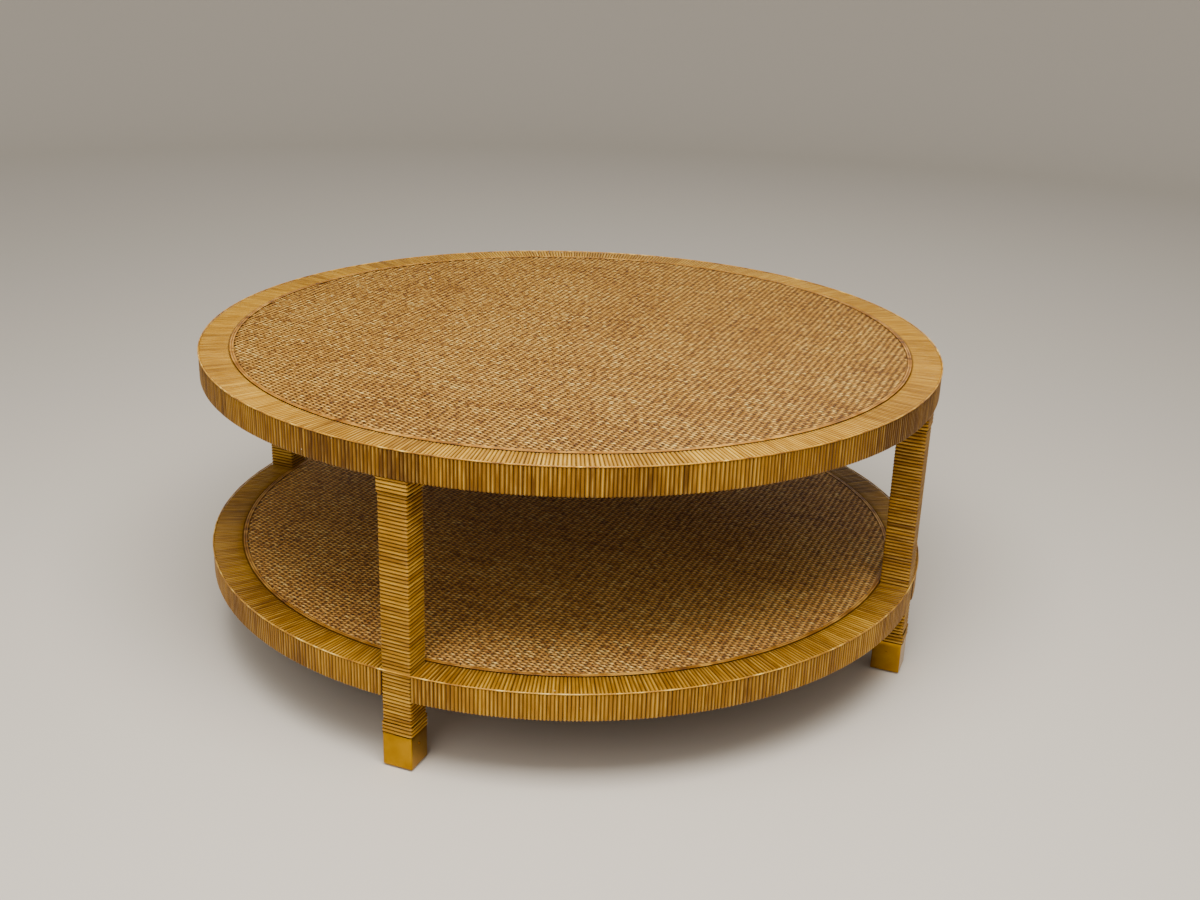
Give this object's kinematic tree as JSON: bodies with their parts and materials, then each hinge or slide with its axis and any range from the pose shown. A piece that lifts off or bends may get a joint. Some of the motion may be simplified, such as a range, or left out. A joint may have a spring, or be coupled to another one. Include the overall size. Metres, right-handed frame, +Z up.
{
  "type": "coffee table",
  "caption": "Round low coffee table in wrapped reed, with woven tops on two tiers, square reed-bound legs let into the shelf's edge, and square brass shoes.",
  "frame": {"origin": "on the floor under the middle of the table", "axes": "+Z up; the four legs stand on the X and Y axes: front is -Y, right is +X, back is +Y, left is -X"},
  "size_m": [1.0667, 1.0668, 0.4319],
  "materials": {
    "top_weave": "satin varnish, honey brown, dark between the strands",
    "shelf_weave": "satin varnish, darker brown than the top",
    "reed_wrap": "satin varnish, golden brown half-round reed",
    "reed_bead": "satin varnish, a little lighter than the wrap",
    "cane_strip": "satin varnish, light flat cane",
    "plywood": "plywood, stained dark brown",
    "rim_wood": "sawn hardwood, plain",
    "batten_wood": "planed hardwood, plain",
    "post_wood": "planed hardwood, plain",
    "brass": "aged brass, satin with brighter worn edges",
    "nylon": "dark brown nylon",
    "steel_fasteners": "plain steel, dull"
  },
  "bodies": {
    "root": {"top_deck": "plywood", "top_rim_segments": "rim_wood", "top_batten_left_right": "batten_wood", "top_batten_front_back": "batten_wood", "top_woven_mat": "top_weave", "top_cane_strip": "cane_strip", "top_edge_bead": "reed_bead", "top_batten_screws": "steel_fasteners", "top_strip_brads": "steel_fasteners", "shelf_deck": "plywood", "shelf_rim_segments": "rim_wood", "shelf_batten_left_right": "batten_wood", "shelf_batten_front_back": "batten_wood", "shelf_woven_mat": "shelf_weave", "shelf_cane_strip": "cane_strip", "shelf_edge_bead": "reed_bead", "shelf_batten_screws": "steel_fasteners", "shelf_strip_brads": "steel_fasteners", "top_edge_wrap": "reed_wrap", "top_leg_screws": "steel_fasteners", "shelf_edge_wrap_back_right": "reed_wrap", "shelf_edge_wrap_back_left": "reed_wrap", "shelf_edge_wrap_front_left": "reed_wrap", "shelf_edge_wrap_front_right": "reed_wrap", "leg_right_post": "post_wood", "leg_right_wrap": "reed_wrap", "leg_right_top_collar": "reed_wrap", "leg_right_bottom_collar": "reed_wrap", "leg_right_brass_cap": "brass", "leg_right_glide": "nylon", "shelf_block_right": "batten_wood", "leg_back_post": "post_wood", "leg_back_wrap": "reed_wrap", "leg_back_top_collar": "reed_wrap", "leg_back_bottom_collar": "reed_wrap", "leg_back_brass_cap": "brass", "leg_back_glide": "nylon", "shelf_block_back": "batten_wood", "leg_left_post": "post_wood", "leg_left_wrap": "reed_wrap", "leg_left_top_collar": "reed_wrap", "leg_left_bottom_collar": "reed_wrap", "leg_left_brass_cap": "brass", "leg_left_glide": "nylon", "shelf_block_left": "batten_wood", "leg_front_post": "post_wood", "leg_front_wrap": "reed_wrap", "leg_front_top_collar": "reed_wrap", "leg_front_bottom_collar": "reed_wrap", "leg_front_brass_cap": "brass", "leg_front_glide": "nylon", "shelf_block_front": "batten_wood", "shelf_block_leg_screws": "steel_fasteners", "shelf_block_deck_screws": "steel_fasteners", "brass_cap_pins": "brass", "glide_nails": "steel_fasteners"}
  },
  "joints": []
}
